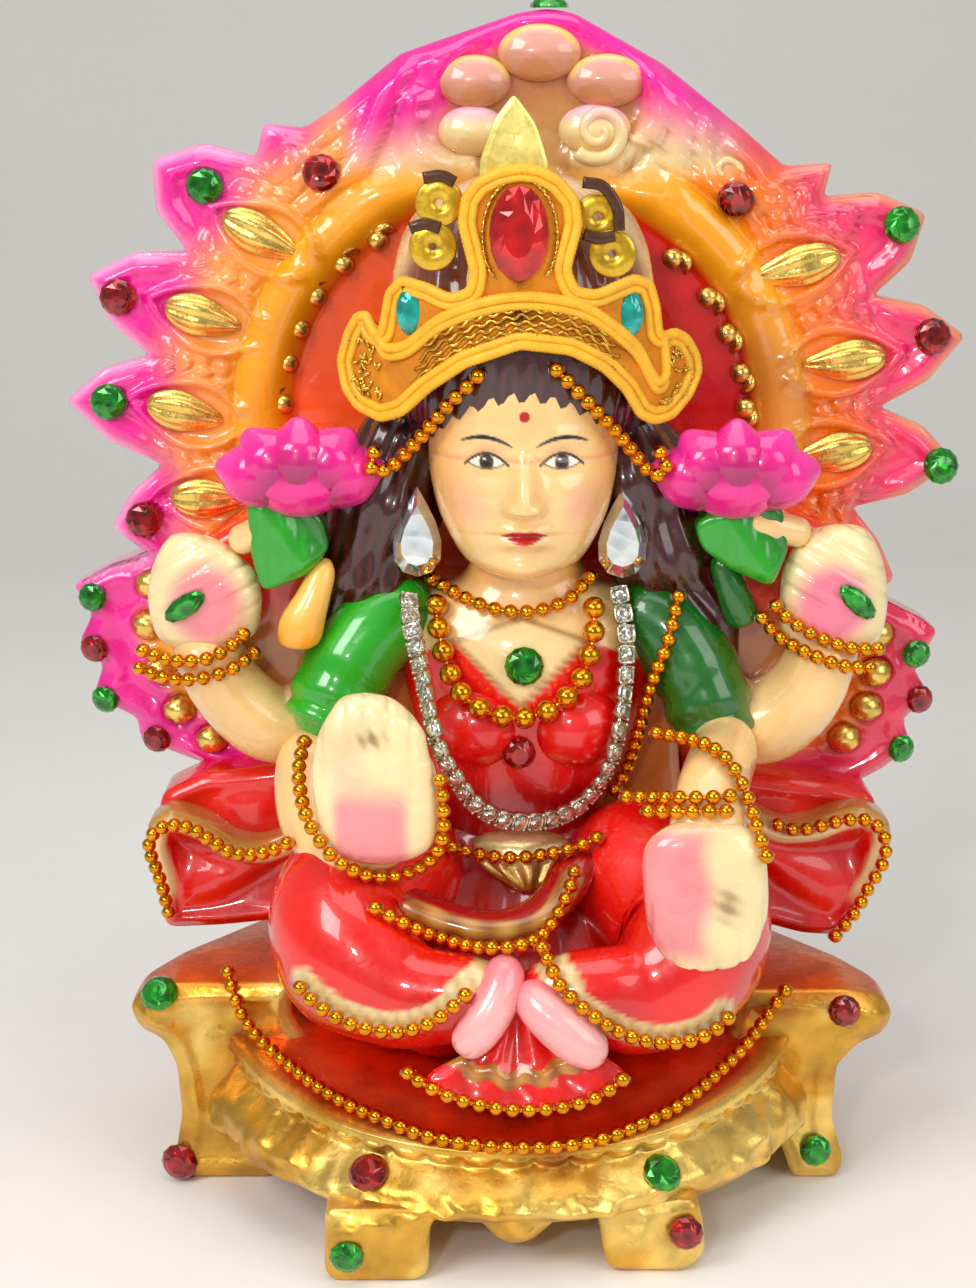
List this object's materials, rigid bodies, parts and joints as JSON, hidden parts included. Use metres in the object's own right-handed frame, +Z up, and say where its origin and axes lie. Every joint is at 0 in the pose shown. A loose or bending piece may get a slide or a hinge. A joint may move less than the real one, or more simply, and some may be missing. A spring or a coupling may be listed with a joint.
{
  "type": "seated lakshmi idol with throne and halo",
  "caption": "Small painted idol: a four-armed seated goddess in one casting with her throne and flame-edged halo, dressed with glued beads, stones and an embroidered crown.",
  "frame": {"origin": "middle of the ground under the whole idol", "axes": "+Z up; the figure faces -Y; +X is to the viewer's right"},
  "size_m": [0.1916, 0.1024, 0.2419],
  "materials": {
    "painted_plaster": "glossy enamel paint over a plaster casting",
    "gilt_beads": "plated plastic beads on thread, polished",
    "rhinestone_cups": "plated square cups with clear set stones",
    "green_glass": "foil-backed faceted glass",
    "red_glass": "foil-backed faceted glass",
    "scarlet_acrylic": "faceted acrylic, polished",
    "teal_acrylic": "faceted acrylic, polished",
    "mirrored_acrylic": "faceted acrylic with a silver foil back",
    "embroidered_felt": "felt with couched cord and metal thread",
    "pale_foil": "pale gold foil sequin",
    "gold_foil": "gold foil sequins"
  },
  "bodies": {
    "root": {"idol_casting": "painted_plaster", "crown_leaf_sequin": "pale_foil", "crown_sequins_left": "gold_foil", "crown_sequins_right": "gold_foil", "crown_patch": "embroidered_felt", "crown_oval_stone": "scarlet_acrylic", "crown_teal_stone_left": "teal_acrylic", "crown_teal_stone_right": "teal_acrylic", "earring_left": "mirrored_acrylic", "palm_stone_left": "green_glass", "earring_right": "mirrored_acrylic", "palm_stone_right": "green_glass", "hair_beads_left": "gilt_beads", "hair_beads_right": "gilt_beads", "choker_beads": "gilt_beads", "large_bead_necklace": "gilt_beads", "rhinestone_chain": "rhinestone_cups", "pallu_beads": "gilt_beads", "waist_beads": "gilt_beads", "hip_beads": "gilt_beads", "raised_wrist_beads": "gilt_beads", "lowered_wrist_beads": "gilt_beads", "sleeve_beads_right": "gilt_beads", "back_wrist_beads_left": "gilt_beads", "back_wrist_beads_right": "gilt_beads", "wing_beads_left": "gilt_beads", "wing_beads_right": "gilt_beads", "hem_beads_left": "gilt_beads", "hem_beads_right": "gilt_beads", "pleat_beads": "gilt_beads", "seat_rim_beads": "gilt_beads", "halo_stone_left_1": "green_glass", "halo_stone_left_2": "red_glass", "halo_stone_left_3": "red_glass", "halo_stone_left_4": "green_glass", "halo_stone_left_5": "red_glass", "halo_stone_left_6": "green_glass", "halo_stone_left_7": "red_glass", "halo_stone_left_8": "green_glass", "halo_stone_left_9": "red_glass", "halo_stone_right_1": "red_glass", "halo_stone_right_2": "green_glass", "halo_stone_right_3": "red_glass", "halo_stone_right_4": "green_glass", "halo_stone_right_5": "green_glass", "halo_stone_right_6": "red_glass", "halo_stone_right_7": "green_glass", "shelf_stone_left": "green_glass", "side_stone_left": "red_glass", "front_stone_left": "red_glass", "leg_stone_left": "green_glass", "shelf_stone_right": "red_glass", "side_stone_right": "green_glass", "front_stone_right": "green_glass", "leg_stone_right": "red_glass", "throat_stone": "green_glass", "chest_stone": "red_glass", "crest_stone": "green_glass"}
  },
  "joints": []
}
